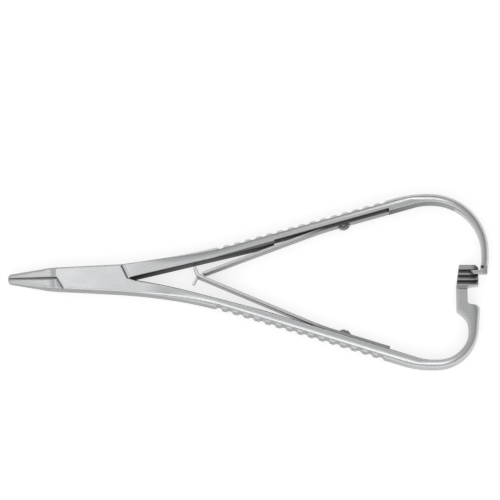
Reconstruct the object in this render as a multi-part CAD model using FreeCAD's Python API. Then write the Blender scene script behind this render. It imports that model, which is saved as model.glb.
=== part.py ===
import FreeCAD, Part

import math
import os
from FreeCAD import Vector

# Orthodontic elastic pliers, 14 cm, box-lock joint, palm handles with a ratchet behind them.
# Frame: origin on the joint axis at the face the pliers lie on, +X towards the handles,
# +Y towards the upper handle, +Z up. Millimetres and degrees.
# The pliers are shown closed: jaws together, catch over the first notch of the rack.

# Forging
HEIGHT = 5.2
MID = HEIGHT / 2
HANDLE_LENGTH = 115.5

# Jaws
JAW_LENGTH = 24.5
TIP_HALF_WIDTH = 1.3
TIP_HEIGHT = 2.5
TIP_CORNER = 1.1
JAW_SLOPE = 8.6
JAW_ROOT_RADIUS = 12.0
JAW_ROUND = 0.75
SLIT_AT_TIP = 0.2
SLIT_AT_BOX = 0.55
SERRATION_PITCH = 0.6
SERRATION_DEPTH = 0.16
SERRATED_LENGTH = 13.0

# Short ramp, above and below, by which the jaws leave the flats of the box
RAMP_TOP_X = -10.4
RAMP_LENGTH = 1.5
RAMP_DEPTH = 0.33
RAMP_TOP_RADIUS = 3.0
RAMP_FOOT_RADIUS = 6.0

# Box lock
BOX_HALF_WIDTH = 3.65
BOX_FLARE = 2.9
BOX_ROUND = 0.35
SHOULDER_OUTER_X = 8.3
SHOULDER_INNER_X = 10.35
SHOULDER_INNER_Y = -0.15
SHOULDER_GAP = 0.16
SHOULDER_BEVEL = 0.2
SHOULDER_RAMP = 1.2
TANG_HEIGHT = 1.8
TANG_HALF_WIDTH = 2.6
TANG_SLANT = 16.0
TANG_GAP = 0.05
OPENING = 16.0
OPENING_SPARE = 1.0
PIN_RADIUS = 1.25
PIN_RUNNING_GAP = 0.04
PIN_FLARE = 0.3
PIN_FLARE_DEPTH = 0.5

# Handles: a long arc leads from the box to the straight grip, which runs along the crests of
# its ribs from GRIP_START to the corner of the bow
MALE_NECK_SLOPE = 7.8
MALE_NECK_RADIUS = 250.0
FEMALE_NECK_RADIUS = 150.0
NECK_SHARES = (0.15, 0.5, 0.35)
MALE_GRIP_START = Vector(35.8, 9.04, 0)
FEMALE_GRIP_START = Vector(35.7, 8.32, 0)
MALE_GRIP_THICKNESS = 2.7
FEMALE_GRIP_THICKNESS = 3.0
MALE_INNER_SLOPE = 13.6
FEMALE_CROTCH = Vector(10.77, 0.3, 0)
FEMALE_INNER_KNEE = Vector(22.0, 2.2, 0)
FEMALE_FACE_START_X = 50.0
INNER_RADIUS = 160.0
OUTER_ROUND = 1.15
INNER_ROUND = 0.45
RECESS_ROUND = 0.7

# Ribs of the grips
RIB_PITCH = 3.27
MALE_RIB_FIRST_X = 37.3
FEMALE_RIB_FIRST_X = 36.9
RIB_END_GAP = 7.8
RIB_CUTTER = 1.05
RIB_DEPTH = 0.8

# Bow at the end of the male handle
MALE_BOW_REACH = 22.76
MALE_BOW_TOP = 25.42
MALE_BOW_RADIUS = 17.1
MALE_BOW_BLEND = 34.0
MALE_BOW_INNER_BLEND = 15.0
MALE_BOW_THICKNESS = 2.6
MALE_END_THICKNESS = 2.0
MALE_END_LEAN_Y = 5.4
MALE_END_LEAN = 0.5
MALE_END_Y = 2.35

# Bow at the end of the female handle, with the neck of the rack
FEMALE_BOW_REACH = 21.29
FEMALE_BOW_TOP = 26.66
FEMALE_BOW_RADIUS = 12.4
FEMALE_BOW_BLEND = 27.0
FEMALE_BOW_INNER_BLEND = 13.5
FEMALE_BOW_THICKNESS = 2.4
FEMALE_BOW_LEAN = 5.0
FEMALE_BOW_INSET = 2.65
FEMALE_SIDE_THICKNESS = 3.4
THROAT_RADIUS = 9.1
THROAT_BACK_RADIUS = 5.0
THROAT_SLOPE = 40.0
THROAT_START_Y = 9.25
THROAT_START_RADIUS = 0.8
JOG_Y = 7.65
JOG_FALL = 0.45
JOG_BEVEL = 0.75
JOG_ROUND = 1.3

# Rack and catch
RACK_INSET = 3.05
RACK_LENGTH = 6.4
RACK_NECK_WIDTH = 3.05
RACK_NECK_FILLET = 0.9
RACK_TOP_Y = 4.3
RACK_BOTTOM_Y = -1.6
RACK_BOTTOM_FALL = 0.35
RACK_LEAN = 0.8
RACK_CORNER_CUT = 0.9
RACK_EDGE_ROUND = 0.25
RACK_HEIGHT = 3.3
RACK_RAMP = 1.6
RACK_LAND = 0.42
RACK_FIRST_LAND = 1.35
RACK_PITCH = 1.6
RACK_NOTCHES = 3
RACK_NOTCH_DEPTH = 0.95
RACK_NOTCH_LEAN = 0.1
CATCH_GAP = 0.06
CATCH_REACH = 4.9
CATCH_WIDTH = 1.15
CATCH_CORNER = 0.3
CATCH_EDGE_ROUND = 0.2
CATCH_POINT = 0.9
CATCH_POINT_DROP = 0.1
CATCH_HEEL = 1.3
CATCH_TOOTH = 0.6
CATCH_TOOTH_LAND = 0.35
SCOOP_RADIUS = 0.5
SCOOP_DEPTH = 1.2
SCOOP_FROM_CLAW = 0.9

# Leaf springs
SPRING_THICKNESS = 0.8
SPRING_WIDTH = 4.0
SPRING_END_INSET = 29.1
SPRING_END_CORNER = 0.5
SPRING_END_GAP = 0.15
SPRING_SEAT_LENGTH = 19.4
SPRING_RECESS_LENGTH = 33.4
SPRING_CROSS = Vector(30.8, 0.98, 0)
SPRING_BEND = 40.0
SPRING_TONGUE_WIDTH = 1.0
SPRING_FORK_GAP = 0.25
SPRING_FORK_LENGTH = 2.6
SPRING_SHOULDER = 1.6
SPRING_SHOULDER_CORNER = 0.3
SPRING_TIP_BEND = 1.2
MALE_SPRING_TIP = Vector(29.45, -1.6, 0)
FEMALE_SPRING_TIP = Vector(29.85, 3.55, 0)

# Spring screws
SCREW_FROM_END = 13.2
SCREW_RADIUS = 0.8
SCREW_LENGTH = 2.1
SCREW_HEAD_RADIUS = 1.8
SCREW_HEAD_HEIGHT = 1.3
SCREW_HEAD_RIM = 0.35
SCREW_SLOT_WIDTH = 0.5
SCREW_SLOT_DEPTH = 0.55
MALE_SLOT_TURN = 35
FEMALE_SLOT_TURN = 75
SCREW_HOLE_GAP = 0.1
SCREW_HOLE_SPARE = 0.1

# Cutters run this far past a face
SPARE = 1.0
FAR = 200.0
SMALL = 1e-3


def heading(degrees):
    angle = math.radians(degrees)
    return Vector(math.cos(angle), math.sin(angle), 0)


def slope_of(way):
    return math.degrees(math.atan2(way.y, way.x))


def mirrored(point):
    return Vector(point.x, -point.y, point.z)


def opposite(point):
    return Vector(-point.x, -point.y, point.z)


def meet(point_a, degrees_a, point_b, degrees_b):
    """The point where two lines in plan cross."""
    way_a = heading(degrees_a)
    way_b = heading(degrees_b)
    gap = point_b - point_a
    across = way_a.x * way_b.y - way_a.y * way_b.x
    run = (gap.x * way_b.y - gap.y * way_b.x) / across
    return point_a + way_a * run


def at_x(point, degrees, x):
    """The point of a line in plan at a given x."""
    return meet(point, degrees, Vector(x, 0, 0), 90)


def half_angle(before, corner, after):
    return (before - corner).getAngle(after - corner) / 2


def corner_arc(before, corner, after, radius):
    """Start, middle and end of the arc that rounds a corner."""
    way_in = (before - corner).normalize()
    way_out = (after - corner).normalize()
    half = half_angle(before, corner, after)
    reach = radius / math.tan(half)
    centre = corner + (way_in + way_out).normalize() * (radius / math.sin(half))
    middle = centre + (corner - centre).normalize() * radius
    return corner + way_in * reach, middle, corner + way_out * reach


def fitted(corners, closed):
    """Corners as (point, radius), with the radii reduced where two arcs would overlap on a run."""
    count = len(corners)
    points = [point for point, _ in corners]
    radii = [radius for _, radius in corners]
    if not closed:
        radii[0] = radii[-1] = 0
    grip = [0 if radii[i] == 0 else
            1 / math.tan(half_angle(points[i - 1], points[i], points[(i + 1) % count]))
            for i in range(count)]
    for i in range(count if closed else count - 1):
        j = (i + 1) % count
        room = (points[j] - points[i]).Length
        need = radii[i] * grip[i] + radii[j] * grip[j]
        if need > room:
            radii[i] *= room / need
            radii[j] *= room / need
    return list(zip(points, radii))


def path_edges(corners, closed):
    """Straight runs and tangent arcs through corners given as (point, radius)."""
    count = len(corners)
    stops = []
    for index, (corner, radius) in enumerate(fitted(corners, closed)):
        if radius == 0:
            stops.append((corner, None, corner))
            continue
        before = corners[index - 1][0]
        after = corners[(index + 1) % count][0]
        stops.append(corner_arc(before, corner, after, radius))
    edges = []
    for index, (start, middle, end) in enumerate(stops):
        if middle is not None:
            edges.append(Part.Arc(start, middle, end).toShape())
        if index == count - 1 and not closed:
            continue
        following = stops[(index + 1) % count][0]
        if (following - end).Length > SMALL:
            edges.append(Part.LineSegment(end, following).toShape())
    return edges


def plate(corners, low, high):
    wire = Part.Wire(path_edges(corners, True))
    wire.translate(Vector(0, 0, low))
    return Part.Face(wire).extrude(Vector(0, 0, high - low))


def lengthwise(corners, half_width):
    """A profile drawn in x and z, extruded across the pliers."""
    points = [(Vector(point.x, -half_width, point.y), radius) for point, radius in corners]
    wire = Part.Wire(path_edges(points, True))
    return Part.Face(wire).extrude(Vector(0, 2 * half_width, 0))


def rim_edges(solid, path):
    """Edges of a solid that run along a path in plan, at its upper and lower faces."""
    guide = Part.Wire(path_edges(path, False))
    found = []
    for edge in solid.Edges:
        ends = [vertex.Point for vertex in edge.Vertexes]
        if len(ends) < 2 or math.hypot(ends[0].x - ends[1].x, ends[0].y - ends[1].y) < SMALL:
            continue
        middle = edge.valueAt((edge.FirstParameter + edge.LastParameter) / 2)
        if Part.Vertex(Vector(middle.x, middle.y, 0)).distToShape(guide)[0] < SMALL:
            found.append(edge)
    return found


def graded_round(solid, path, index, first_radius, last_radius):
    """Round the rims along a path, one radius before the arc of a corner and another after it."""
    corner, radius = fitted(path, False)[index]
    start, middle, _ = corner_arc(path[index - 1][0], corner, path[index + 1][0], radius)
    for rim in (0, -1):
        stretch = []
        for edge in solid.Edges:
            half_way = edge.valueAt((edge.FirstParameter + edge.LastParameter) / 2)
            if math.hypot(half_way.x - middle.x, half_way.y - middle.y) < SMALL:
                stretch.append(edge)
        edge = sorted(stretch, key=lambda found: found.CenterOfMass.z)[rim]
        first = edge.Vertexes[0].Point
        if math.hypot(first.x - start.x, first.y - start.y) < SMALL:
            solid = solid.makeFillet(first_radius, last_radius, [edge])
        else:
            solid = solid.makeFillet(last_radius, first_radius, [edge])
    return solid


def neck_arc(before, corner, after, radius):
    """The long arc between box and grip as the corners of three stretches, tangent to each other."""
    way_in = corner - before
    way_out = after - corner
    turn = slope_of(way_out) - slope_of(way_in)
    reach_share = math.tan(math.radians(abs(turn)) / 2)
    radius = min(radius, way_in.Length / reach_share)
    slope = slope_of(way_in)
    place = corner - heading(slope) * (radius * reach_share)
    corners = []
    for share in NECK_SHARES:
        reach = radius * math.tan(math.radians(abs(turn) * share) / 2)
        place = place + heading(slope) * reach
        corners.append((place, radius))
        slope += turn * share
        place = place + heading(slope) * reach
    return corners


def box_side(x):
    """Half width of the box at x."""
    return BOX_HALF_WIDTH + math.tan(math.radians(BOX_FLARE)) * x


def jaw_slit(x):
    """Half the gap between the jaws at x."""
    share = (x + JAW_LENGTH) / (JAW_LENGTH - SHOULDER_INNER_X)
    return (SLIT_AT_TIP + (SLIT_AT_BOX - SLIT_AT_TIP) * share) / 2


# Places that several pieces share
SHOULDER_OUTER = Vector(SHOULDER_OUTER_X, box_side(SHOULDER_OUTER_X), 0)
SHOULDER_INNER = Vector(SHOULDER_INNER_X, SHOULDER_INNER_Y, 0)
JAW_SHOULDER_OUTER = Vector(-SHOULDER_OUTER_X, -box_side(-SHOULDER_OUTER_X), 0)
JAW_SHOULDER_INNER = opposite(SHOULDER_INNER)
JAW_SHOULDER_LINE = slope_of(JAW_SHOULDER_OUTER - JAW_SHOULDER_INNER)
MALE_BOW_CORNER = Vector(HANDLE_LENGTH - MALE_BOW_REACH, MALE_BOW_TOP, 0)
FEMALE_BOW_CORNER = Vector(HANDLE_LENGTH - FEMALE_BOW_REACH, FEMALE_BOW_TOP, 0)
SPRING_END_X = HANDLE_LENGTH - SPRING_END_INSET
SPRING_LEAVES_X = SPRING_END_X - SPRING_SEAT_LENGTH
SCREW_X = SPRING_END_X - SCREW_FROM_END
FEMALE_END_X = HANDLE_LENGTH - FEMALE_BOW_INSET
RACK_RIGHT_X = HANDLE_LENGTH - RACK_INSET
RACK_NECK_X = RACK_RIGHT_X - RACK_LENGTH
RECESS_START_X = SPRING_END_X - SPRING_RECESS_LENGTH
RECESS_END_X = SPRING_END_X + SPRING_END_GAP


class Grip:
    """One straight grip, drawn above the axis; side is -1 for the female half, which mirrors it."""

    def __init__(self, start, bow_corner, thickness, rib_first_x, side):
        self.start = start
        self.bow_corner = bow_corner
        self.slope = slope_of(bow_corner - start)
        self.face = start + heading(self.slope - 90) * thickness
        self.rib_first_x = rib_first_x
        self.side = side


MALE_GRIP = Grip(MALE_GRIP_START, MALE_BOW_CORNER, MALE_GRIP_THICKNESS, MALE_RIB_FIRST_X, 1)
FEMALE_GRIP = Grip(FEMALE_GRIP_START, FEMALE_BOW_CORNER, FEMALE_GRIP_THICKNESS,
                   FEMALE_RIB_FIRST_X, -1)


def jaw_side(side):
    """Outer outline of one jaw from its tip to the box, side +1 above and -1 below."""
    tip = Vector(-JAW_LENGTH, side * TIP_HALF_WIDTH, 0)
    box_point = Vector(0, side * BOX_HALF_WIDTH, 0)
    root = meet(tip, side * JAW_SLOPE, box_point, side * BOX_FLARE)
    return [(Vector(-JAW_LENGTH, side * jaw_slit(-JAW_LENGTH), 0), 0),
            (tip, TIP_CORNER),
            (root, JAW_ROOT_RADIUS)]


def jaw_taper():
    """Side profile: the flats of the box, the short ramp, and the taper to the tip."""
    foot_x = RAMP_TOP_X - RAMP_LENGTH
    lower = [(Vector(-JAW_LENGTH, MID - TIP_HEIGHT / 2, 0), 0),
             (Vector(foot_x, RAMP_DEPTH, 0), RAMP_FOOT_RADIUS),
             (Vector(RAMP_TOP_X, 0, 0), RAMP_TOP_RADIUS),
             (Vector(FAR, 0, 0), 0)]
    upper = [(Vector(point.x, HEIGHT - point.y, 0), radius) for point, radius in lower]
    return lengthwise(lower + upper[::-1], FAR / 2)


def serrations(side):
    """Cross grooves on the gripping face of one jaw."""
    count = int(SERRATED_LENGTH / SERRATION_PITCH)
    points = []
    start = -JAW_LENGTH + SERRATION_PITCH
    for index in range(count):
        x = start + index * SERRATION_PITCH
        points.append(Vector(x, side * jaw_slit(x), 0))
        peak_x = x + SERRATION_PITCH / 2
        points.append(Vector(peak_x, side * (jaw_slit(peak_x) + SERRATION_DEPTH), 0))
    end = start + count * SERRATION_PITCH
    points.append(Vector(end, side * jaw_slit(end), 0))
    points.append(Vector(end, -side * SLIT_AT_BOX, 0))
    points.append(Vector(start, -side * SLIT_AT_BOX, 0))
    return plate([(point, 0) for point in points], 0, HEIGHT)


def strip(degrees, half_width, low, high):
    """A straight bar through the joint axis, seen in plan."""
    bar = Part.makeBox(FAR, 2 * half_width, high - low, Vector(-FAR / 2, -half_width, low))
    bar.rotate(Vector(), Vector(0, 0, 1), degrees)
    return bar


def shoulder_bevels(overrun):
    """Cutters that break the edges of both shoulders, above and below.

    Each leaves a narrow bevel on the box and a long shallow ramp on the bar that meets it.
    They start at the inner end of the shoulder, or as far before it as the overrun.
    """
    profile = ((-SHOULDER_BEVEL, 0), (0, SHOULDER_BEVEL), (SHOULDER_GAP, SHOULDER_BEVEL),
               (SHOULDER_GAP + SHOULDER_RAMP, 0), (SHOULDER_GAP + SHOULDER_RAMP, -SPARE),
               (-SHOULDER_BEVEL, -SPARE))
    cutters = []
    for inner, outer in ((SHOULDER_INNER, SHOULDER_OUTER), (JAW_SHOULDER_INNER, JAW_SHOULDER_OUTER)):
        slope = slope_of(outer - inner)
        start = inner - heading(slope) * overrun
        length = (outer - start).Length + SPARE
        for level, way in ((0, 1), (HEIGHT, -1)):
            points = [start + heading(slope - 90) * step + Vector(0, 0, level + way * depth)
                      for step, depth in profile]
            face = Part.Face(Part.makePolygon(points + points[:1]))
            cutters.append(face.extrude(heading(slope) * length))
    return cutters


def rib_cutters(grip):
    """Round-bottomed cross grooves along the outer side of a grip, up to its bow."""
    pitch_x = RIB_PITCH * math.cos(math.radians(grip.slope))
    room = grip.bow_corner.x - RIB_END_GAP - grip.rib_first_x
    first = at_x(grip.start, grip.slope, grip.rib_first_x)
    cutters = []
    for index in range(int(room / pitch_x) + 1):
        along = first + heading(grip.slope) * (index * RIB_PITCH)
        centre = along + heading(grip.slope + 90) * (RIB_CUTTER - RIB_DEPTH)
        centre.y *= grip.side
        cutters.append(Part.makeCylinder(RIB_CUTTER, HEIGHT, centre))
    return Part.makeCompound(cutters)


def screw_frame(grip):
    """Point on the inner face under the screw, and the direction into the handle."""
    seat = at_x(grip.face, grip.slope, SCREW_X)
    inward = heading(grip.slope + 90)
    seat = Vector(seat.x, grip.side * seat.y, MID)
    return seat, Vector(inward.x, grip.side * inward.y, 0)


def screw_hole(grip):
    seat, inward = screw_frame(grip)
    depth = SCREW_LENGTH - SPRING_THICKNESS + SCREW_HOLE_SPARE
    return Part.makeCylinder(SCREW_RADIUS, depth + SPARE, seat - inward * SPARE, inward)


def male_outer_path():
    start = SHOULDER_OUTER + heading(MALE_NECK_SLOPE) * SHOULDER_GAP
    neck = meet(start, MALE_NECK_SLOPE, MALE_GRIP_START, MALE_GRIP.slope)
    return [(start, 0),
            *neck_arc(start, neck, MALE_BOW_CORNER, MALE_NECK_RADIUS),
            (MALE_BOW_CORNER, MALE_BOW_BLEND),
            (Vector(HANDLE_LENGTH, MALE_BOW_TOP, 0), MALE_BOW_RADIUS),
            (Vector(HANDLE_LENGTH, MALE_END_LEAN_Y, 0), MALE_END_LEAN_Y),
            (Vector(HANDLE_LENGTH - MALE_END_LEAN, MALE_END_Y, 0), 0)]


def male_flush_line():
    """A point of the inner face at either end of the recess, flush with the spring in it."""
    return MALE_GRIP.face + heading(MALE_GRIP.slope - 90) * SPRING_THICKNESS


def male_neck_path():
    """Inner face from the crotch to the recess of the spring."""
    crotch = SHOULDER_INNER + heading(0) * SHOULDER_GAP
    flush = male_flush_line()
    return [(crotch, 0),
            (meet(crotch, MALE_INNER_SLOPE, flush, MALE_GRIP.slope), INNER_RADIUS),
            (at_x(flush, MALE_GRIP.slope, RECESS_START_X), 0)]


def male_recess_path():
    return [(at_x(MALE_GRIP.face, MALE_GRIP.slope, RECESS_START_X), 0),
            (at_x(MALE_GRIP.face, MALE_GRIP.slope, RECESS_END_X), 0)]


def male_bow_path():
    """Inner face from the recess round the bow to the catch."""
    flush = male_flush_line()
    inner_top = Vector(0, MALE_BOW_TOP - MALE_BOW_THICKNESS, 0)
    inner_x = HANDLE_LENGTH - MALE_END_THICKNESS
    return [(at_x(flush, MALE_GRIP.slope, RECESS_END_X), 0),
            (meet(flush, MALE_GRIP.slope, inner_top, 0), MALE_BOW_INNER_BLEND),
            (Vector(inner_x, inner_top.y, 0), MALE_BOW_RADIUS - MALE_BOW_THICKNESS),
            (Vector(inner_x, MALE_END_LEAN_Y, 0), MALE_END_LEAN_Y),
            (Vector(inner_x - MALE_END_LEAN, MALE_END_Y, 0), 0)]


def male_jaw():
    gap = heading(180) * SHOULDER_GAP
    inner = JAW_SHOULDER_INNER + gap
    slit = meet(inner, JAW_SHOULDER_LINE, Vector(inner.x, -jaw_slit(inner.x), 0), 0)
    side = jaw_side(-1) + [(JAW_SHOULDER_OUTER + gap, 0)]
    jaw = plate(side + [(slit, 0)], 0, HEIGHT).common(jaw_taper())
    jaw = graded_round(jaw, side, 2, JAW_ROUND, BOX_ROUND)
    return jaw.cut(serrations(-1))


def male_handle():
    outer = male_outer_path()
    neck = male_neck_path()
    recess = male_recess_path()
    bow = male_bow_path()
    bar = plate(outer + bow[::-1] + recess[::-1] + neck[::-1], 0, HEIGHT)
    bar = graded_round(bar, outer, 2, BOX_ROUND, OUTER_ROUND)
    for path, radius in ((neck, INNER_ROUND), (recess, RECESS_ROUND), (bow, INNER_ROUND)):
        bar = bar.makeFillet(radius, rim_edges(bar, path))
    return bar.cut(rib_cutters(MALE_GRIP)).cut(screw_hole(MALE_GRIP))


def tang():
    """The thin middle of the male half, which crosses inside the box."""
    low = MID - TANG_HEIGHT / 2
    high = MID + TANG_HEIGHT / 2
    reach = SHOULDER_INNER_X + SHOULDER_GAP
    corners = [Vector(x, y, 0) for x, y in (
        (-reach, -box_side(-reach)), (reach, -box_side(reach)),
        (reach, box_side(reach)), (-reach, box_side(-reach)))]
    box = plate([(corner, 0) for corner in corners], low, high)
    return box.common(strip(TANG_SLANT, TANG_HALF_WIDTH, low, high))


def catch():
    """The claw at the end of the male handle, which reaches over the rack."""
    low = RACK_HEIGHT + CATCH_GAP
    root_x = HANDLE_LENGTH - MALE_END_LEAN
    tip_x = root_x - CATCH_REACH
    inner_x = root_x - MALE_END_THICKNESS
    bottom_y = MALE_END_Y - CATCH_WIDTH
    heel_y = MALE_END_Y + CATCH_HEEL
    outline = [(Vector(root_x, heel_y, 0), 0),
               (Vector(root_x, bottom_y, 0), CATCH_CORNER),
               (Vector(tip_x + CATCH_POINT, bottom_y, 0), 0),
               (Vector(tip_x, MALE_END_Y - CATCH_POINT_DROP, 0), 0),
               (Vector(inner_x, MALE_END_Y, 0), 0),
               (Vector(inner_x, heel_y, 0), 0)]
    claw = plate(outline, low, HEIGHT)
    top_rims = [edge for edge in rim_edges(claw, outline[:3]) if edge.CenterOfMass.z > low + SMALL]
    claw = claw.makeFillet(CATCH_EDGE_ROUND, top_rims)
    tooth = [Vector(0, MALE_END_Y - CATCH_TOOTH_LAND, low),
             Vector(0, bottom_y, low + CATCH_TOOTH),
             Vector(0, bottom_y, low)]
    room = Part.Face(Part.makePolygon(tooth + tooth[:1])).extrude(Vector(FAR, 0, 0))
    return claw.cut(room)


def catch_scoop():
    """Round hollow in the top of the arm, just behind the claw."""
    centre = Vector(HANDLE_LENGTH - MALE_END_THICKNESS, MALE_END_Y + SCOOP_FROM_CLAW,
                    HEIGHT - SCOOP_DEPTH)
    return Part.makeCylinder(SCOOP_RADIUS, SCOOP_DEPTH + SPARE, centre)


def male_half():
    body = male_jaw().fuse([tang(), male_handle(), catch()]).removeSplitter()
    body = body.cut([catch_scoop(), *shoulder_bevels(SHOULDER_GAP)])
    return body.cut(Part.makeCylinder(PIN_RADIUS + PIN_RUNNING_GAP, HEIGHT))


def female_outer_path():
    """Lower outline of the female half, from the shoulder of the jaw to the side of the bow."""
    bow = mirrored(FEMALE_BOW_CORNER)
    neck = meet(JAW_SHOULDER_OUTER, -BOX_FLARE, mirrored(FEMALE_GRIP_START), -FEMALE_GRIP.slope)
    side_slope = 90 - FEMALE_BOW_LEAN
    jog_outer = Vector(FEMALE_END_X, -JOG_Y - JOG_FALL, 0)
    jog_inner = Vector(RACK_NECK_X + RACK_NECK_WIDTH, -JOG_Y, 0)
    return [(JAW_SHOULDER_OUTER, 0),
            *neck_arc(JAW_SHOULDER_OUTER, neck, bow, FEMALE_NECK_RADIUS),
            (bow, FEMALE_BOW_BLEND),
            (meet(bow, 0, jog_outer, side_slope), FEMALE_BOW_RADIUS),
            (jog_outer - heading(side_slope) * JOG_BEVEL, JOG_ROUND),
            (jog_outer + (jog_inner - jog_outer).normalize() * JOG_BEVEL, 0)]


def female_end_path():
    """From the jog under the catch notch round the rack to its upper end."""
    neck_right = RACK_NECK_X + RACK_NECK_WIDTH
    return [(Vector(neck_right, -JOG_Y, 0), RACK_NECK_FILLET),
            (Vector(neck_right, RACK_BOTTOM_Y - RACK_BOTTOM_FALL, 0), RACK_NECK_FILLET),
            (Vector(RACK_RIGHT_X, RACK_BOTTOM_Y, 0), 0),
            (Vector(RACK_RIGHT_X, RACK_TOP_Y - RACK_CORNER_CUT, 0), 0),
            (Vector(RACK_RIGHT_X - RACK_CORNER_CUT, RACK_TOP_Y, 0), 0),
            (Vector(RACK_NECK_X + RACK_LEAN, RACK_TOP_Y, 0), 0)]


def female_inner_path():
    """Inner outline of the female handle, from the rack back to the crotch."""
    face = mirrored(FEMALE_GRIP.face)
    slope = -FEMALE_GRIP.slope
    inner_top = Vector(0, FEMALE_BOW_THICKNESS - FEMALE_BOW_TOP, 0)
    throat = Vector(FEMALE_END_X - FEMALE_SIDE_THICKNESS, 0, 0)
    neck_start = Vector(RACK_NECK_X, -THROAT_START_Y, 0)
    return [(Vector(RACK_NECK_X, RACK_BOTTOM_Y, 0), 0),
            (neck_start, THROAT_START_RADIUS),
            (meet(neck_start, -THROAT_SLOPE, throat, 90), THROAT_BACK_RADIUS),
            (meet(inner_top, 0, throat, 90), THROAT_RADIUS),
            (meet(face, slope, inner_top, 0), FEMALE_BOW_INNER_BLEND),
            (at_x(face, slope, FEMALE_FACE_START_X), INNER_RADIUS),
            (mirrored(FEMALE_INNER_KNEE), INNER_RADIUS),
            (mirrored(FEMALE_CROTCH), 0)]


def rack_recess():
    """Room above the rack, with the notches, as a profile in y and z."""
    points = [Vector(0, RACK_TOP_Y + SPARE, HEIGHT), Vector(0, RACK_TOP_Y + SPARE, RACK_HEIGHT)]
    y = RACK_TOP_Y - RACK_FIRST_LAND
    for index in range(RACK_NOTCHES):
        points.append(Vector(0, y, RACK_HEIGHT))
        points.append(Vector(0, y - RACK_NOTCH_LEAN, RACK_HEIGHT - RACK_NOTCH_DEPTH))
        points.append(Vector(0, y - RACK_PITCH + RACK_LAND, RACK_HEIGHT))
        y -= RACK_PITCH
    points.append(Vector(0, y, RACK_HEIGHT))
    points.append(Vector(0, y - RACK_RAMP, HEIGHT))
    recess = Part.Face(Part.makePolygon(points + points[:1])).extrude(Vector(FAR, 0, 0))
    recess.translate(Vector(RACK_NECK_X - SPARE, 0, 0))
    return recess


def female_blank():
    """The whole outline of the female half, with its rims rounded."""
    outer = female_outer_path()
    inner = female_inner_path()
    end = female_end_path()
    slit_y = jaw_slit(JAW_SHOULDER_INNER.x)
    slit = meet(JAW_SHOULDER_INNER, JAW_SHOULDER_LINE, Vector(0, slit_y, 0), 0)
    top = jaw_side(1) + [(SHOULDER_OUTER, 0)]
    outline = (top + [(SHOULDER_INNER, 0)] + inner[::-1] + end[::-1]
               + outer[::-1] + [(slit, 0)])
    body = plate(outline, 0, HEIGHT).common(jaw_taper())
    body = graded_round(body, top, 2, JAW_ROUND, BOX_ROUND)
    body = graded_round(body, outer, 2, BOX_ROUND, OUTER_ROUND)
    body = body.makeFillet(RACK_EDGE_ROUND, rim_edges(body, outer[-1:] + end[:3]))
    return body.makeFillet(INNER_ROUND, rim_edges(body, inner[:-1]))


def female_half():
    body = female_blank()
    low = MID - TANG_HEIGHT / 2 - TANG_GAP
    high = MID + TANG_HEIGHT / 2 + TANG_GAP
    for turn in (0, OPENING + OPENING_SPARE):
        body = body.cut(strip(TANG_SLANT + turn, TANG_HALF_WIDTH + TANG_GAP, low, high))
    body = body.cut(serrations(1)).cut(rack_recess()).cut(shoulder_bevels(0))
    body = body.cut(rib_cutters(FEMALE_GRIP)).cut(screw_hole(FEMALE_GRIP))
    return body.cut(joint_pin())


def turned_left(way):
    return Vector(-way.y, way.x, 0)


def beside(path, shift):
    """A path moved sideways, its corners kept tangent; a positive shift is to the left."""
    moved = []
    last = len(path) - 1
    for index, (point, radius) in enumerate(path):
        way_in = point - path[max(index - 1, 0)][0]
        way_out = path[min(index + 1, last)][0] - point
        if index == 0:
            way_in = way_out
        if index == last:
            way_out = way_in
        side_in = turned_left(way_in).normalize()
        side_out = turned_left(way_out).normalize()
        half = side_in.getAngle(side_out) / 2
        between = (side_in + side_out).normalize()
        turns_left = way_in.x * way_out.y - way_in.y * way_out.x > 0
        new_radius = radius - shift if turns_left else radius + shift
        moved.append((point + between * (shift / math.cos(half)), new_radius if radius else 0))
    return moved


def leaf(path, profile):
    """A flat spring bent along a path in plan and cut to a width profile in x and z."""
    outline = beside(path, SPRING_THICKNESS / 2) + beside(path, -SPRING_THICKNESS / 2)[::-1]
    return plate(outline, 0, HEIGHT).common(lengthwise(profile, FAR / 2))


def spring_path(grip, tip):
    """Middle line of a spring, from past its end on the grip through the crossing to its tip."""
    base = grip.face + heading(grip.slope - 90) * (SPRING_THICKNESS / 2)
    end = at_x(base, grip.slope, SPRING_END_X + SPARE)
    leaves = at_x(base, grip.slope, SPRING_LEAVES_X)
    end = Vector(end.x, grip.side * end.y, 0)
    leaves = Vector(leaves.x, grip.side * leaves.y, 0)
    return [(end, 0), (leaves, SPRING_BEND), (SPRING_CROSS, SPRING_TIP_BEND), (tip, 0)]


def width_profile(steps):
    """Closed profile in x and z from (x, width, corner radius) steps, even about mid height."""
    lower = [(Vector(x, MID - width / 2, 0), radius) for x, width, radius in steps]
    upper = [(Vector(x, MID + width / 2, 0), radius) for x, width, radius in steps]
    return lower + upper[::-1]


def spring_hole(grip):
    seat, inward = screw_frame(grip)
    start = seat - inward * (SPRING_THICKNESS + SPARE)
    return Part.makeCylinder(SCREW_RADIUS + SCREW_HOLE_GAP, SPRING_THICKNESS + 2 * SPARE,
                             start, inward)


def male_spring():
    """The leaf whose narrow tongue passes through the fork of the other one."""
    shoulder = SPRING_CROSS.x + SPRING_SHOULDER
    profile = width_profile([
        (MALE_SPRING_TIP.x - SPARE, SPRING_TONGUE_WIDTH, 0),
        (shoulder, SPRING_TONGUE_WIDTH, 0),
        (shoulder, SPRING_WIDTH, SPRING_SHOULDER_CORNER),
        (SPRING_END_X, SPRING_WIDTH, SPRING_END_CORNER)])
    return leaf(spring_path(MALE_GRIP, MALE_SPRING_TIP), profile).cut(spring_hole(MALE_GRIP))


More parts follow.
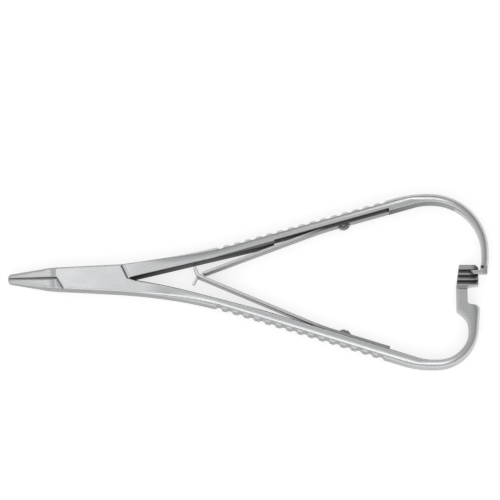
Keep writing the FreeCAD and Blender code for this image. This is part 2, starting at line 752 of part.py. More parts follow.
def female_spring():
    """The leaf whose end is a fork of two tines."""
    profile = width_profile([
        (FEMALE_SPRING_TIP.x - SPARE, SPRING_WIDTH, 0),
        (SPRING_END_X, SPRING_WIDTH, SPRING_END_CORNER)])
    blade = leaf(spring_path(FEMALE_GRIP, FEMALE_SPRING_TIP), profile)
    slot = SPRING_TONGUE_WIDTH + 2 * SPRING_FORK_GAP
    room = Part.makeBox(2 * SPRING_FORK_LENGTH, FAR, slot)
    room.translate(Vector(SPRING_CROSS.x - SPRING_FORK_LENGTH, -FAR / 2, MID - slot / 2))
    return blade.cut(room).cut(spring_hole(FEMALE_GRIP))


def dome_screw(grip, slot_turn):
    """Slotted screw with a domed head, seated on the spring."""
    top = Vector(0, 0, SCREW_HEAD_HEIGHT)
    rim = Vector(SCREW_HEAD_RADIUS, 0, SCREW_HEAD_RIM)
    dome = SCREW_HEAD_HEIGHT - SCREW_HEAD_RIM
    sphere = (SCREW_HEAD_RADIUS ** 2 + dome ** 2) / (2 * dome)
    half_turn = math.asin(SCREW_HEAD_RADIUS / sphere) / 2
    shoulder = Vector(sphere * math.sin(half_turn), 0,
                      SCREW_HEAD_HEIGHT - sphere * (1 - math.cos(half_turn)))
    below = [top, Vector(0, 0, -SCREW_LENGTH), Vector(SCREW_RADIUS, 0, -SCREW_LENGTH),
             Vector(SCREW_RADIUS, 0, 0), Vector(SCREW_HEAD_RADIUS, 0, 0), rim]
    edges = [Part.LineSegment(a, b).toShape() for a, b in zip(below, below[1:])]
    edges.append(Part.Arc(rim, shoulder, top).toShape())
    screw = Part.Face(Part.Wire(edges)).revolve(Vector(), Vector(0, 0, 1), 360)
    slot = Part.makeBox(FAR, SCREW_SLOT_WIDTH, SCREW_HEAD_HEIGHT)
    slot.translate(Vector(-FAR / 2, -SCREW_SLOT_WIDTH / 2, SCREW_HEAD_HEIGHT - SCREW_SLOT_DEPTH))
    slot.rotate(Vector(), Vector(0, 0, 1), slot_turn)
    screw = screw.cut(slot)
    seat, inward = screw_frame(grip)
    turn = FreeCAD.Rotation(Vector(0, 0, 1), inward * -1)
    screw.Placement = FreeCAD.Placement(seat - inward * SPRING_THICKNESS, turn)
    return screw


def joint_pin():
    """Rivet through the box, its ends flared into the cheeks and ground flush."""
    pin = Part.makeCylinder(PIN_RADIUS, HEIGHT)
    wide = PIN_RADIUS + PIN_FLARE
    low_end = Part.makeCone(wide, PIN_RADIUS, PIN_FLARE_DEPTH)
    high_end = Part.makeCone(PIN_RADIUS, wide, PIN_FLARE_DEPTH,
                             Vector(0, 0, HEIGHT - PIN_FLARE_DEPTH))
    return pin.fuse([low_end, high_end]).removeSplitter()


def build():
    return {
        "female_half": female_half(),
        "male_half": male_half(),
        "joint_pin": joint_pin(),
        "female_spring": female_spring(),
        "male_spring": male_spring(),
        "female_spring_screw": dome_screw(FEMALE_GRIP, FEMALE_SLOT_TURN),
        "male_spring_screw": dome_screw(MALE_GRIP, MALE_SLOT_TURN),
    }


os.makedirs("parts", exist_ok=True)
for name, solid in build().items():
    print(name, solid.isValid(), len(solid.Solids), round(solid.Volume, 1))
    solid.exportStep(f"parts/{name}.step")
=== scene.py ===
import math

import bmesh
import bpy
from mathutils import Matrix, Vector


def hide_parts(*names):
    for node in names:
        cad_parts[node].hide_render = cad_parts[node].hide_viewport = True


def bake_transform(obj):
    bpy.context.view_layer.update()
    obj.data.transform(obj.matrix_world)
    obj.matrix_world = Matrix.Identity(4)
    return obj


# Orthodontic elastic pliers in satin stainless steel, lying closed on a white board.
# Metres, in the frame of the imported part: origin on the joint axis at the face that they lie on,
# +X towards the handles, +Y towards the upper handle, +Z up.

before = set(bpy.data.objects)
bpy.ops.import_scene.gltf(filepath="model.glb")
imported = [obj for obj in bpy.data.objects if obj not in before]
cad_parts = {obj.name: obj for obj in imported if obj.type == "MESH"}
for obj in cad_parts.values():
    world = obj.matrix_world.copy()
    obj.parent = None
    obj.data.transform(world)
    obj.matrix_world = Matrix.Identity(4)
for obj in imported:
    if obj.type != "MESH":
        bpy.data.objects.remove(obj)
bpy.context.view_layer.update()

MM = 0.001


# Small helpers

def linear(hex_colour):
    """An sRGB hex colour as linear RGBA."""
    parts = [int(hex_colour[i:i + 2], 16) / 255 for i in (1, 3, 5)]
    return [c / 12.92 if c <= 0.04045 else ((c + 0.055) / 1.055) ** 2.4 for c in parts] + [1.0]


def add(tree, kind, inputs=None, **settings):
    """Add a node, its settings, and its inputs as values or as links from other nodes."""
    made = tree.nodes.new(kind)
    for name, value in settings.items():
        setattr(made, name, value)
    for name, value in (inputs or {}).items():
        socket = made.inputs[name]
        if isinstance(value, bpy.types.NodeSocket):
            tree.links.new(value, socket)
        else:
            socket.default_value = value
    return made


def new_material(name):
    material = bpy.data.materials.new(name)
    material.use_nodes = True
    material.node_tree.nodes.clear()
    return material, material.node_tree


def show(name, mesh):
    shown = bpy.data.objects.new(name, mesh)
    bpy.context.scene.collection.objects.link(shown)
    return shown


# Camera: 76 degrees above the pliers, looking across them, through a long lens

PHOTO_WIDTH = 145.55 * MM
PHOTO_CENTRE = Vector((45.94, 8.27, 5.2)) * MM
CAMERA_TILT = math.radians(76)
LENS = 250
CLIP_NEAR = 10 * MM
CLIP_FAR = 20

camera_data = bpy.data.cameras.new("camera")
camera = show("camera", camera_data)
camera_data.lens = LENS
camera_data.clip_start = CLIP_NEAR
camera_data.clip_end = CLIP_FAR
way_back = Vector((0, -math.cos(CAMERA_TILT), math.sin(CAMERA_TILT)))
camera.location = PHOTO_CENTRE + way_back * (PHOTO_WIDTH * LENS / camera_data.sensor_width)
camera.rotation_euler = (-way_back).to_track_quat("-Z", "Y").to_euler()
bpy.context.scene.camera = camera


# Leaf springs. Each is bent along a line in plan and stands on edge between the handles. They flex
# as the pliers open, so they are built here, with stops close enough along them to bend smoothly.

SPRING_THICKNESS = 0.8 * MM
SPRING_LOW = 0.6 * MM
SPRING_HIGH = 4.6 * MM
SPRING_END_X = 86.4 * MM
SPRING_LEAVES_X = 67.0 * MM
SPRING_CROSS = Vector((30.8, 0.98, 0)) * MM
SPRING_BEND = 40 * MM
SPRING_TIP_BEND = 1.2 * MM
SPRING_END_CORNER = 0.5 * MM
SPRING_EDGE = 0.09 * MM
MALE_GRIP_SLOPE = 16.05
MALE_FACE = Vector((36.546, 6.445, 0)) * MM
MALE_FACE_RISE = math.tan(math.radians(MALE_GRIP_SLOPE))
MALE_TIP = Vector((29.45, -1.6, 0)) * MM
FEMALE_GRIP_SLOPE = 17.40
FEMALE_FACE = Vector((36.597, -5.457, 0)) * MM
FEMALE_FACE_RISE = -math.tan(math.radians(FEMALE_GRIP_SLOPE))
FEMALE_TIP = Vector((29.85, 3.55, 0)) * MM
TONGUE_SHOULDER_X = 32.4 * MM
TONGUE_LOW = 2.1 * MM
TONGUE_HIGH = 3.1 * MM
FORK_ROOT_X = 33.4 * MM
FORK_LOW = 1.85 * MM
FORK_HIGH = 3.35 * MM

# How finely the springs are drawn
STOP_SPACING = 0.8 * MM
ARC_STEP = math.radians(6)
ROLLED_CORNER = math.radians(50)
SHARP_CORNER = math.radians(40)


def bent_line(corners):
    """Points close together along straight runs and the tangent arcs of corners (point, radius)."""
    line = [corners[0][0]]
    for (before, _), (corner, radius), (after, _) in zip(corners, corners[1:], corners[2:]):
        way_in = (before - corner).normalized()
        way_out = (after - corner).normalized()
        half = way_in.angle(way_out) / 2
        centre = corner + (way_in + way_out).normalized() * (radius / math.sin(half))
        spoke_in = (corner + way_in * (radius / math.tan(half)) - centre).normalized()
        spoke_out = (corner + way_out * (radius / math.tan(half)) - centre).normalized()
        steps = math.ceil(spoke_in.angle(spoke_out) / ARC_STEP)
        line += [centre + spoke_in.slerp(spoke_out, step / steps).normalized() * radius
                 for step in range(steps + 1)]
    line.append(corners[-1][0])
    close = [line[0]]
    for start, end in zip(line, line[1:]):
        steps = math.ceil((end - start).length / STOP_SPACING)
        close += [start.lerp(end, step / steps) for step in range(1, steps + 1)]
    return close


def with_stop_at(line, x):
    """The line with one more point where it passes x."""
    for index in range(len(line) - 1):
        start, end = line[index], line[index + 1]
        if start.x > x > end.x:
            share = (start.x - x) / (start.x - end.x)
            return line[:index + 1] + [start.lerp(end, share)] + line[index + 1:]
    return line


def spring_line(face, face_rise, tip):
    """Middle of a leaf in plan: along its seat on the handle's face, away from it, to its tip."""
    side = 1 if face.y > 0 else -1
    inset = side * SPRING_THICKNESS / (2 * math.hypot(1, face_rise))
    seat = face + Vector((face_rise, -1, 0)) * inset
    end = seat + Vector((1, face_rise, 0)) * (SPRING_END_X - seat.x)
    leaves = seat + Vector((1, face_rise, 0)) * (SPRING_LEAVES_X - seat.x)
    return bent_line([(end, 0), (leaves, SPRING_BEND), (SPRING_CROSS, SPRING_TIP_BEND), (tip, 0)])


def spring_sheet(line, narrow_x, cut_low, cut_high, keeps_middle):
    """The leaf with no thickness, whose end past narrow_x keeps its middle or its two sides."""
    levels = [SPRING_LOW, cut_low, cut_high, SPRING_HIGH]
    sheet = bmesh.new()
    rows = [[sheet.verts.new((point.x, point.y, level)) for level in levels] for point in line]
    for row, following in zip(rows, rows[1:]):
        past = (row[0].co.x + following[0].co.x) / 2 < narrow_x
        for place in range(3):
            if not past or (place == 1) == keeps_middle:
                sheet.faces.new((row[place], following[place],
                                 following[place + 1], row[place + 1]))
    bmesh.ops.delete(sheet, geom=[v for v in sheet.verts if not v.link_faces], context="VERTS")
    bmesh.ops.bevel(sheet, geom=[rows[0][0], rows[0][3]], offset=SPRING_END_CORNER, segments=4,
                    profile=0.5, affect="VERTICES")
    return sheet


def leaf_spring(name, line, narrow_x, cut_low, cut_high, keeps_middle):
    """A leaf along the line, with its thickness and its lightly rolled edges."""
    sheet = spring_sheet(with_stop_at(line, narrow_x), narrow_x, cut_low, cut_high, keeps_middle)
    mesh = bpy.data.meshes.new(name + "_sheet")
    sheet.to_mesh(mesh)
    sheet.free()
    flat = show(name + "_sheet", mesh)
    thick = flat.modifiers.new("thickness", "SOLIDIFY")
    thick.thickness = SPRING_THICKNESS
    thick.offset = 0
    thick.use_even_offset = True
    edge = flat.modifiers.new("rolled_edge", "BEVEL")
    edge.width = SPRING_EDGE
    edge.segments = 2
    edge.limit_method = "ANGLE"
    edge.angle_limit = ROLLED_CORNER
    built = flat.evaluated_get(bpy.context.evaluated_depsgraph_get())
    solid = bpy.data.meshes.new_from_object(built)
    bpy.data.objects.remove(flat)
    solid.polygons.foreach_set("use_smooth", [True] * len(solid.polygons))
    solid.set_sharp_from_angle(angle=SHARP_CORNER)
    solid.name = name
    return show(name, solid)


male_leaf = leaf_spring("male_leaf", spring_line(MALE_FACE, MALE_FACE_RISE, MALE_TIP),
                        TONGUE_SHOULDER_X, TONGUE_LOW, TONGUE_HIGH, True)
female_leaf = leaf_spring("female_leaf", spring_line(FEMALE_FACE, FEMALE_FACE_RISE, FEMALE_TIP),
                          FORK_ROOT_X, FORK_LOW, FORK_HIGH, False)

# Each leaf takes the place of the part's own spring, which is hidden.
for leaf, node, own_body, other_body in ((male_leaf, "male_spring", "male", "female"),
                                         (female_leaf, "female_spring", "female", "male")):
    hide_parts(node)
    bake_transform(leaf)


# Finishes that the steels share

def zone(tree, *limits):
    """How far a point is in a zone: the product of limits (value, none of it, all of it).

    A limit may go on with its share at each of these two values, where they aren't 0 and 1.
    """
    share = None
    for value, none, full, *ends in limits:
        least, most = ends or (0.0, 1.0)
        limit = add(tree, "ShaderNodeMapRange", {"Value": value, "From Min": none, "From Max": full,
                                                 "To Min": least, "To Max": most}).outputs[0]
        if share is None:
            share = limit
        else:
            share = add(tree, "ShaderNodeMath", {0: share, 1: limit},
                        operation="MULTIPLY").outputs[0]
    return share


def painted_groove_shade(tree, reach, shelter_span, most):
    """Painted shade: how much darker a point is made where other metal within reach shuts it in."""
    shelter = add(tree, "ShaderNodeAmbientOcclusion", {"Distance": reach}, samples=8)
    return zone(tree, (shelter.outputs["AO"], *shelter_span, 0.0, most))


def laid_over(tree, steel, layers):
    """The steel's colour with each (share, colour) layer over it in turn; most layers are painted
    shade or highlight.
    """
    for share, layer in layers:
        steel = add(tree, "ShaderNodeMix", {0: share, 6: steel, 7: linear(layer)},
                    data_type="RGBA").outputs[2]
    return steel


def end_in_metal(tree, steel, roughness, bump=None):
    """Close the tree with bare metal of this colour and roughness."""
    shader = add(tree, "ShaderNodeBsdfPrincipled", {
        "Base Color": steel, "Metallic": 1.0, "Roughness": roughness})
    if bump:
        tree.links.new(bump.outputs["Normal"], shader.inputs["Normal"])
    add(tree, "ShaderNodeOutputMaterial", {"Surface": shader.outputs[0]})


# The forgings' finish. Scales are per metre of the real object. The beads' grain is about 0.05 mm
# and the brush lines are as wide: both are drawn coarser, so that they show.

BEAD_GRAIN = 1 / (0.25 * MM)
BRUSH_LINES = (1 / (9 * MM), 1 / (0.35 * MM), 1 / (0.35 * MM))
HAND_PATCHES = 1 / (8 * MM)
MOTTLE_SPAN = (0.35, 0.65)
STREAK_SPAN = (0.6, 1.4)
BEADED_ROUGHNESS = (0.25, 0.36)
INNER_ROUGHER = 0.35
BRUSH_SHARE = 0.6
GRAIN_STRENGTH = 0.12
GRAIN_DEPTH = 0.02 * MM
EDGE_WEAR = 0.12 * MM
WORN_TURN = (0.995, 0.85)
WORN_MOST = 0.5
GROOVE_REACH = 1.2 * MM
GROOVE_SHELTER = (0.6, 0.15)
GROOVE_MOST = 0.8
BOX_ROLL = 0.6 * MM
CROWN_WIDTH = 2.8 * MM
CROWN_EDGE = 0.3 * MM
CROWN_LEAN = 0.55
RAMP_LEAN = 0.4

BEADED_STEEL = ("#C3C4C5", "#D7D8D9")
# Painted shade, laid over the steel: on the sides, more where they look back into the hollow of the
# bows, on the faces that look inward, and deepest in the crotch
SHADED_SIDE_GREY = "#8E8F90"
HOLLOW_SHADE_GREY = "#8B8C8D"
INNER_FACE_SHADE = "#6A6B6C"
CROTCH_SHADE = "#262728"
MILLED_STEEL = "#BBBBBC"
# Painted shade in grooves and other shut-in places
GROOVE_SHADE_GREY = "#5E5E5E"
BURNISHED_EDGE = "#E0E1E2"

# Limits of the zones by the way that a face looks, as none of it and all of it: how upright its
# normal stands, how far it looks inward, and how far it looks back into the hollow of the bows
SIDE_UPRIGHT = (0.5, 0.15)
INWARD_FACING = (0.3, 0.8)
HOLLOW_WAY = (-0.6, 0.8)
HOLLOW_FACING = (0.2, 0.6)

# Limits of the zones by place. They lie along x where no other way is named.
PAST_BOX = (9 * MM, 12 * MM)
ON_BOX = (13 * MM, 9 * MM)
CROTCH = (34 * MM, 14 * MM)
ON_GRIP = (13 * MM, 36 * MM)
PAST_NECK = (28 * MM, 36 * MM)
BEFORE_RECESS = (53.3 * MM, 53.0 * MM)
BEFORE_BOW = (104 * MM, 84 * MM)
# Along the bows the sides' painted shade falls to this share
BOW_SIDES_LESS_SHADED = (84 * MM, 94 * MM)
BOW_SIDE_SHADE_SHARE = 0.55
AT_BOW = (86 * MM, 96 * MM)
PAST_THROAT = (105.7 * MM, 105.9 * MM)
RACK_Y = (-1.9 * MM, -1.6 * MM)
RAMP_TOP_Y = (-1.7 * MM, -2.0 * MM)
RAMP_FOOT_Y = (-3.3 * MM, -2.9 * MM)
BELOW_CATCH_Z = (3.5 * MM, 3.35 * MM)
OFF_PIN_RADIUS = (1.9 * MM, 2.3 * MM)
# Painted shade where the spring's recess runs out: the seat line's limits and its strongest share
SEAT_LINE_RISE = (0.06 * MM, -0.1 * MM)
RECESS_SHADE_MOST = 0.9

# Outer line of each handle, as it lies above the axis: the neck and the crests of the grip, each a
# point and a slope in degrees, how softly these two join, and the bow's centre and radius.
MALE_OUTLINE = {
    "straights": ((Vector((8.3, 4.07, 0)) * MM, 7.8),
                  (Vector((35.8, 9.04, 0)) * MM, MALE_GRIP_SLOPE)),
    "softness": 2.5 * MM, "bow centre": Vector((98.4, 8.3, 0)) * MM, "bow radius": 17.1 * MM}
FEMALE_OUTLINE = {
    "straights": ((Vector((-8.3, 3.23, 0)) * MM, -2.9),
                  (Vector((35.7, 8.32, 0)) * MM, FEMALE_GRIP_SLOPE)),
    "softness": 4.8 * MM, "bow centre": Vector((99.9, 14.3, 0)) * MM, "bow radius": 12.4 * MM}


def in_from_outline(tree, above, outline):
    """How far in from the handle's outer line a point lies, and the spoke to it from the bow."""
    insets = []
    for point, slope in outline["straights"]:
        across = Vector((math.sin(math.radians(slope)), -math.cos(math.radians(slope)), 0))
        down = add(tree, "ShaderNodeVectorMath", {0: above, 1: across}, operation="DOT_PRODUCT")
        insets.append(add(tree, "ShaderNodeMath", {0: down.outputs["Value"],
                                                   1: -point.dot(across)}, operation="ADD"))
    straight = add(tree, "ShaderNodeMath", {0: insets[0].outputs[0], 1: insets[1].outputs[0],
                                            2: outline["softness"]}, operation="SMOOTH_MAX")
    spoke = add(tree, "ShaderNodeVectorMath", {0: above, 1: outline["bow centre"]},
                operation="SUBTRACT")
    spoke = add(tree, "ShaderNodeVectorMath", {0: spoke.outputs[0], 1: (0, 0, 0)},
                operation="MAXIMUM")
    reach = add(tree, "ShaderNodeVectorMath", {0: spoke.outputs[0]}, operation="LENGTH")
    round_bow = add(tree, "ShaderNodeMath", {0: outline["bow radius"], 1: reach.outputs["Value"]},
                    operation="SUBTRACT")
    inset = add(tree, "ShaderNodeMath", {0: straight.outputs[0], 1: round_bow.outputs[0]},
                operation="MINIMUM")
    return inset.outputs[0], spoke.outputs[0]


def outer_lean(tree, place, x, side, outline):
    """How far the wheel has rolled the flat of a handle over towards its outer line, as a vector.

    Side is +1 for the upper handle and -1 for the lower one, whose outline lies mirrored.
    """
    above = add(tree, "ShaderNodeVectorMath", {0: place, 1: (1, side, 0)}, operation="MULTIPLY")
    inset, spoke = in_from_outline(tree, above.outputs[0], outline)
    grip_slope = math.radians(outline["straights"][1][1])
    grip_outward = (-math.sin(grip_slope), math.cos(grip_slope), 0)
    bow_outward = add(tree, "ShaderNodeVectorMath", {0: spoke}, operation="NORMALIZE")
    outward = add(tree, "ShaderNodeMix", {0: zone(tree, (x, *AT_BOW)), 4: grip_outward,
                                          5: bow_outward.outputs[0]}, data_type="VECTOR")
    outward = add(tree, "ShaderNodeVectorMath", {0: outward.outputs[1], 1: (1, side, 0)},
                  operation="MULTIPLY")
    crown = add(tree, "ShaderNodeMapRange", {
        "Value": inset, "From Min": CROWN_WIDTH, "From Max": CROWN_EDGE, "To Max": CROWN_LEAN},
        interpolation_type="SMOOTHSTEP")
    return add(tree, "ShaderNodeVectorMath", {0: outward.outputs[0], "Scale": crown.outputs[0]},
               operation="SCALE").outputs[0]


def shaded_inner_faces(tree, spot, facing_y, inward, seat_line):
    """Where a handle is painted dark as shade: on faces that look inward, and inside a seat line.

    The seat line, a point and how it rises, is the face that a spring lies on. Shade is painted
    inside it where the spring's recess runs out, between the neck and the deep part.
    """
    x = spot.outputs["X"]
    none, full = INWARD_FACING
    inner_shade = zone(tree, (x, *PAST_BOX), (x, *BEFORE_BOW), (facing_y, none * inward, full * inward))
    if seat_line is None:
        return inner_shade
    point, rise = seat_line
    level = point.y - rise * point.x
    above_axis = add(tree, "ShaderNodeMath", {0: x, 1: -rise, 2: spot.outputs["Y"]},
                     operation="MULTIPLY_ADD").outputs[0]
    outside, inside = SEAT_LINE_RISE
    # Painted shade where the spring's recess runs out
    recess_shade = zone(tree, (above_axis, level + outside, level + inside), (x, *BEFORE_RECESS),
                   (x, *PAST_NECK, 0.0, RECESS_SHADE_MOST))
    return add(tree, "ShaderNodeMath", {0: inner_shade, 1: recess_shade}, operation="MAXIMUM").outputs[0]


def burnished_edges(tree, radius):
    """Where handling has burnished the edges, as far from them as the radius."""
    rounded = add(tree, "ShaderNodeBevel", {"Radius": radius}, samples=6)
    plain = add(tree, "ShaderNodeNewGeometry")
    agree = add(tree, "ShaderNodeVectorMath", {0: rounded.outputs[0], 1: plain.outputs["Normal"]},
                operation="DOT_PRODUCT")
    return zone(tree, (agree.outputs["Value"], *WORN_TURN, 0.0, WORN_MOST))


def forged_normal(tree, place, spot, upright, off_pin, side, outline):
    """Which way the forging's surface faces once the wheel has worked it, as a vector.

    The box is rolled at its edges, the handle is crowned along its outer line, and the ramp at the
    foot of the rack is blended into the arm below it.
    """
    x, y = spot.outputs["X"], spot.outputs["Y"]
    roll = zone(tree, off_pin, (x, *ON_BOX, 0.0, BOX_ROLL))
    rolled = add(tree, "ShaderNodeBevel", {"Radius": roll}, samples=8).outputs[0]
    ramp = zone(tree, (x, *PAST_THROAT), (y, *RAMP_TOP_Y), (y, *RAMP_FOOT_Y))
    flat_grip = zone(tree, (upright, 0.0, 1.0), (x, *ON_GRIP))
    for lean, share in ((outer_lean(tree, place, x, side, outline), flat_grip),
                        ((0, -RAMP_LEAN, 0), ramp)):
        lean = add(tree, "ShaderNodeVectorMath", {0: lean, "Scale": share}, operation="SCALE")
        rolled = add(tree, "ShaderNodeVectorMath", {0: rolled, 1: lean.outputs[0]},
                     operation="ADD").outputs[0]
    return add(tree, "ShaderNodeVectorMath", {0: rolled}, operation="NORMALIZE").outputs[0]


def satin_stainless(name, inward, outline, seat_line):
    """Martensitic stainless, drop forged, glass-bead blasted and lightly brushed along its length.

    An even soft grey sheen with a fine grain. Handling burnishes the edges a little lighter, and
    shade is painted dark into grooves. The wheel works on the flats and the outer curves, and rolls
    the grips over towards their crests. The sides are painted darker as shade, most where they look
    back into the hollow of the bows. The faces that look inward, +1 or -1 in y, are painted dark as
    shade and made rougher up to the bows, darkest in the crotch.
    """
    material, tree = new_material(name)
    texture = add(tree, "ShaderNodeTexCoord")
    place = texture.outputs["Object"]
    grain = add(tree, "ShaderNodeTexNoise", {"Vector": place, "Scale": BEAD_GRAIN, "Detail": 3.0,
                                             "Roughness": 0.65}).outputs["Fac"]
    along = add(tree, "ShaderNodeMapping", {"Vector": place, "Scale": BRUSH_LINES})
    brush = add(tree, "ShaderNodeTexNoise", {"Vector": along.outputs["Vector"], "Scale": 1.0,
                                             "Detail": 4.0}).outputs["Fac"]
    cloud = add(tree, "ShaderNodeTexNoise", {"Vector": place, "Scale": HAND_PATCHES,
                                             "Detail": 2.0}).outputs["Fac"]

    spot = add(tree, "ShaderNodeSeparateXYZ", {"Vector": place})
    x = spot.outputs["X"]
    facing = add(tree, "ShaderNodeSeparateXYZ", {"Vector": texture.outputs["Normal"]})
    upright = add(tree, "ShaderNodeMath", {0: facing.outputs["Z"]}, operation="ABSOLUTE").outputs[0]
    on_side = (upright, *SIDE_UPRIGHT)
    from_pin = add(tree, "ShaderNodeVectorMath", {0: place, 1: (1, 1, 0)}, operation="MULTIPLY")
    from_pin = add(tree, "ShaderNodeVectorMath", {0: from_pin.outputs[0]}, operation="LENGTH")
    off_pin = (from_pin.outputs["Value"], *OFF_PIN_RADIUS)

    back, across = HOLLOW_WAY
    into_hollow = add(tree, "ShaderNodeVectorMath", {
        0: texture.outputs["Normal"], 1: (back, across * inward, 0)}, operation="DOT_PRODUCT")
    # Painted shade: the sides are darkened, less along the bows, more where they look back into the
    # hollow of the bows
    side = zone(tree, on_side, (x, *BOW_SIDES_LESS_SHADED, 1.0, BOW_SIDE_SHADE_SHARE))
    hollow_shade = zone(tree, (into_hollow.outputs["Value"], *HOLLOW_FACING), on_side)
    # Painted shade on the inward faces, darkest in the crotch; these faces are also made rougher
    inner_shade = shaded_inner_faces(tree, spot, facing.outputs["Y"], inward, seat_line)
    crotch_shade = zone(tree, (x, *CROTCH), (inner_shade, 0.0, 1.0))
    milled = zone(tree, (x, *PAST_THROAT), (spot.outputs["Y"], *RACK_Y),
                  (spot.outputs["Z"], *BELOW_CATCH_Z))
    # Painted shade in the grooves, kept off the pin
    groove_shade = painted_groove_shade(tree, GROOVE_REACH, GROOVE_SHELTER, GROOVE_MOST)
    groove_shade = zone(tree, (groove_shade, 0.0, 1.0), off_pin)
    worn = burnished_edges(tree, zone(tree, off_pin, (x, *BEFORE_BOW, 0.0, EDGE_WEAR)))

    darker, lighter = BEADED_STEEL
    mottle = add(tree, "ShaderNodeMix", {0: zone(tree, (grain, *MOTTLE_SPAN)), 6: linear(darker),
                                         7: linear(lighter)}, data_type="RGBA")
    steel = laid_over(tree, mottle.outputs[2], (
        (side, SHADED_SIDE_GREY), (hollow_shade, HOLLOW_SHADE_GREY), (inner_shade, INNER_FACE_SHADE), (crotch_shade, CROTCH_SHADE),
        (milled, MILLED_STEEL), (groove_shade, GROOVE_SHADE_GREY), (worn, BURNISHED_EDGE)))

    streaks = add(tree, "ShaderNodeMath", {0: brush, 1: cloud}, operation="ADD")
    rough = zone(tree, (streaks.outputs[0], *STREAK_SPAN, *BEADED_ROUGHNESS))
    rough = add(tree, "ShaderNodeMath", {0: inner_shade, 1: INNER_ROUGHER, 2: rough},
                operation="MULTIPLY_ADD")
    relief = add(tree, "ShaderNodeMath", {0: brush, 1: BRUSH_SHARE, 2: grain},
                 operation="MULTIPLY_ADD")
    bump = add(tree, "ShaderNodeBump", {
        "Height": relief.outputs[0], "Strength": GRAIN_STRENGTH, "Distance": GRAIN_DEPTH,
        "Normal": forged_normal(tree, place, spot, upright, off_pin, -inward, outline)})
    end_in_metal(tree, steel, rough.outputs[0], bump)
    return material


# The springs' and the screws' finish. The lines that the rolls leave and the marks of turning are
# a few hundredths of a millimetre wide, and are drawn coarser, so that they show.

ROLLING_LINES = (1 / (12 * MM), 1 / (12 * MM), 1 / (0.22 * MM))
ROLLED_ROUGHNESS = (0.22, 0.36)
LINE_STRENGTH = 0.08
LINE_DEPTH = 0.01 * MM
TURNING_MARKS = 1 / (0.2 * MM)
TURNED_ROUGHNESS = (0.16, 0.3)
SLOT_REACH = 0.6 * MM
SLOT_SHELTER = (0.8, 0.3)
SLOT_MOST = 0.85

ROLLED_STRIP = ("#7B7C7E", "#909193")
# Painted shade towards the upper leaf's tip, a painted highlight on the slit edges, painted shade
# along the seat, and painted shade in grooves
TIP_SHADE_GREY = "#3A3B3D"
SLIT_EDGE_HIGHLIGHT = "#DADBDC"
SEAT_SHADE_GREY = "#5A5A5B"
STRIP_GROOVE_SHADE = "#4E4E4E"
TURNED_STEEL = "#7F8081"
SLOT_SHADE = "#2E2E2E"

SEATED = (60 * MM, 68 * MM)
NEAR_TIP = (46 * MM, 33 * MM)
UPPER_LEAF_Y = (0.9 * MM, 1.3 * MM)
SLIT_UPRIGHT = (0.3, 0.8)
LOWER_LEAF_SHADE_SHARE = 0.5


def rolled_spring_strip():
    """Cold-rolled stainless spring strip: smoother than the forging, with fine rolling lines.

    Its faces are painted darker as shade towards the tip of the upper leaf. Its slit edges are
    painted light as a highlight, and painted dark as shade where it lies along the handle, half as
    much on the lower leaf. Shade is painted dark into its grooves.
    """
    material, tree = new_material("cold-rolled stainless spring strip")
    texture = add(tree, "ShaderNodeTexCoord")
    place = texture.outputs["Object"]
    along = add(tree, "ShaderNodeMapping", {"Vector": place, "Scale": ROLLING_LINES})
    lines = add(tree, "ShaderNodeTexNoise", {"Vector": along.outputs["Vector"], "Scale": 1.0,
                                             "Detail": 3.0}).outputs["Fac"]
    spot = add(tree, "ShaderNodeSeparateXYZ", {"Vector": place})
    x, y = spot.outputs["X"], spot.outputs["Y"]
    facing = add(tree, "ShaderNodeSeparateXYZ", {"Vector": texture.outputs["Normal"]})
    upright = add(tree, "ShaderNodeMath", {0: facing.outputs["Z"]}, operation="ABSOLUTE").outputs[0]
    # Painted shade on the upper leaf, growing towards its tip
    tip_shade = zone(tree, (x, *NEAR_TIP), (y, *UPPER_LEAF_Y))
    # Painted highlight on the slit edges, with painted shade over it where the leaf lies along the
    # handle, half as much on the lower leaf
    slit = zone(tree, (upright, *SLIT_UPRIGHT))
    seat_shade = zone(tree, (slit, 0.0, 1.0), (x, *SEATED), (y, *UPPER_LEAF_Y, LOWER_LEAF_SHADE_SHARE, 1.0))
    # Painted shade in the strip's grooves
    groove_shade = painted_groove_shade(tree, GROOVE_REACH, GROOVE_SHELTER, GROOVE_MOST)
    darker, lighter = ROLLED_STRIP
    strip = add(tree, "ShaderNodeMix", {0: lines, 6: linear(darker), 7: linear(lighter)},
                data_type="RGBA")
    steel = laid_over(tree, strip.outputs[2], (
        (tip_shade, TIP_SHADE_GREY), (slit, SLIT_EDGE_HIGHLIGHT), (seat_shade, SEAT_SHADE_GREY), (groove_shade, STRIP_GROOVE_SHADE)))
    bump = add(tree, "ShaderNodeBump", {"Height": lines, "Strength": LINE_STRENGTH,
                                        "Distance": LINE_DEPTH})
    end_in_metal(tree, steel, zone(tree, (lines, 0.0, 1.0, *ROLLED_ROUGHNESS)), bump)
    return material


def turned_screw_steel():
    """Free-cutting stainless, turned and polished: a grey dome, with shade painted dark into its
    driver slot.
    """
    material, tree = new_material("turned stainless screw")
    place = add(tree, "ShaderNodeTexCoord").outputs["Object"]
    marks = add(tree, "ShaderNodeTexNoise", {"Vector": place, "Scale": TURNING_MARKS,
                                             "Detail": 2.0}).outputs["Fac"]
    # Painted shade in the driver slot
    groove_shade = painted_groove_shade(tree, SLOT_REACH, SLOT_SHELTER, SLOT_MOST)
    steel = add(tree, "ShaderNodeMix", {0: groove_shade, 6: linear(TURNED_STEEL),
                                        7: linear(SLOT_SHADE)}, data_type="RGBA")
    end_in_metal(tree, steel.outputs[2], zone(tree, (marks, 0.0, 1.0, *TURNED_ROUGHNESS)))
    return material


def finish_with(node, material):
    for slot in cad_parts[node].material_slots:
        slot.material = material


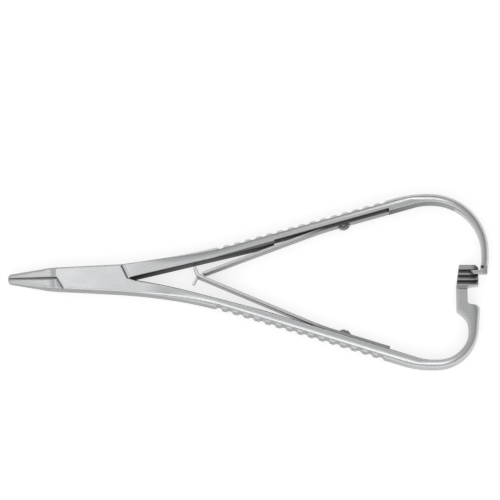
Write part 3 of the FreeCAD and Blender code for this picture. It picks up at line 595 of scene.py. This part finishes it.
upper_forging = satin_stainless("satin stainless forging, upper handle", -1, MALE_OUTLINE,
                                (MALE_FACE, MALE_FACE_RISE))
lower_forging = satin_stainless("satin stainless forging, lower handle", 1, FEMALE_OUTLINE, None)
spring_steel = rolled_spring_strip()
screw_steel = turned_screw_steel()
for node, steel in (("male_half", upper_forging), ("female_half", lower_forging),
                    ("joint_pin", lower_forging), ("male_spring", spring_steel),
                    ("female_spring", spring_steel), ("male_spring_screw", screw_steel),
                    ("female_spring_screw", screw_steel)):
    finish_with(node, steel)
for leaf in (male_leaf, female_leaf):
    leaf.data.materials.clear()
    leaf.data.materials.append(spring_steel)


# Floor and light. The room is light overhead and falls off behind the pliers and to their right.

# The board's own grey sends less light back up at the pliers than white would. The lift is only
# seen, directly, in gloss or through glass, and brings the board to white where no shadow falls.
BOARD_GREY = "#B4B4B4"
BOARD_LIFT = 0.72
BOARD_PLACE = (0.05, 0, 0)
BOARD_REACH = 3.0


def white_board():
    """Matt white board that keeps the shadow of the pliers and looks white where it is clear."""
    material, tree = new_material("white board")
    ray = add(tree, "ShaderNodeLightPath")
    seen = ray.outputs["Is Camera Ray"]
    for kind in ("Is Glossy Ray", "Is Transmission Ray"):
        seen = add(tree, "ShaderNodeMath", {0: seen, 1: ray.outputs[kind]},
                   operation="MAXIMUM").outputs[0]
    lift = add(tree, "ShaderNodeMath", {0: seen, 1: BOARD_LIFT}, operation="MULTIPLY")
    board = add(tree, "ShaderNodeBsdfDiffuse", {"Color": linear(BOARD_GREY)})
    glow = add(tree, "ShaderNodeEmission", {"Color": linear("#FFFFFF"),
                                            "Strength": lift.outputs[0]})
    both = add(tree, "ShaderNodeAddShader", {0: board.outputs[0], 1: glow.outputs[0]})
    add(tree, "ShaderNodeOutputMaterial", {"Surface": both.outputs[0]})
    return material


board_mesh = bpy.data.meshes.new("board")
sheet = bmesh.new()
bmesh.ops.create_grid(sheet, x_segments=1, y_segments=1, size=BOARD_REACH)
sheet.to_mesh(board_mesh)
sheet.free()
board_mesh.materials.append(white_board())
board = show("board", board_mesh)
board.location = BOARD_PLACE


def softbox(name, place, target, size, watts):
    """An even rectangle of light at a place, turned to its target."""
    lamp_data = bpy.data.lights.new(name, "AREA")
    lamp_data.shape = "RECTANGLE"
    lamp_data.size, lamp_data.size_y = size
    lamp_data.energy = watts
    lamp = show(name, lamp_data)
    lamp.location = place
    lamp.rotation_euler = (Vector(target) - Vector(place)).to_track_quat("-Z", "Y").to_euler()


softbox("overhead_softbox", place=(-0.04, 0.07, 0.3), target=(-0.04, 0.07, 0), size=(0.11, 0.14),
        watts=0.042)
softbox("front_softbox", place=(0.05, -0.34, 0.36), target=(0.045, 0, 0), size=(0.5, 0.32),
        watts=0.6)
softbox("back_strip", place=(0.11, 0.24, 0.22), target=(0.095, 0.02, 0), size=(0.12, 0.05),
        watts=0.06)

# The room's light: its strength by how far a direction lies along the way to its lightest part
TO_LIGHTEST = (-0.25, -0.3, 1.0)
DIMMEST_AT = -0.2
LIGHTEST_AT = 0.9
DIMMEST = 0.3
LIGHTEST = 0.6

world = bpy.data.worlds.new("studio")
bpy.context.scene.world = world
world.use_nodes = True
room = world.node_tree
room.nodes.clear()
way = add(room, "ShaderNodeTexCoord").outputs["Generated"]
rise = add(room, "ShaderNodeVectorMath", {0: way, 1: TO_LIGHTEST}, operation="DOT_PRODUCT")
strength = zone(room, (rise.outputs["Value"], DIMMEST_AT, LIGHTEST_AT, DIMMEST, LIGHTEST))
sky = add(room, "ShaderNodeBackground", {"Color": linear("#FFFFFF"), "Strength": strength})
add(room, "ShaderNodeOutputWorld", {"Surface": sky.outputs[0]})

bpy.context.scene.view_settings.view_transform = "Standard"
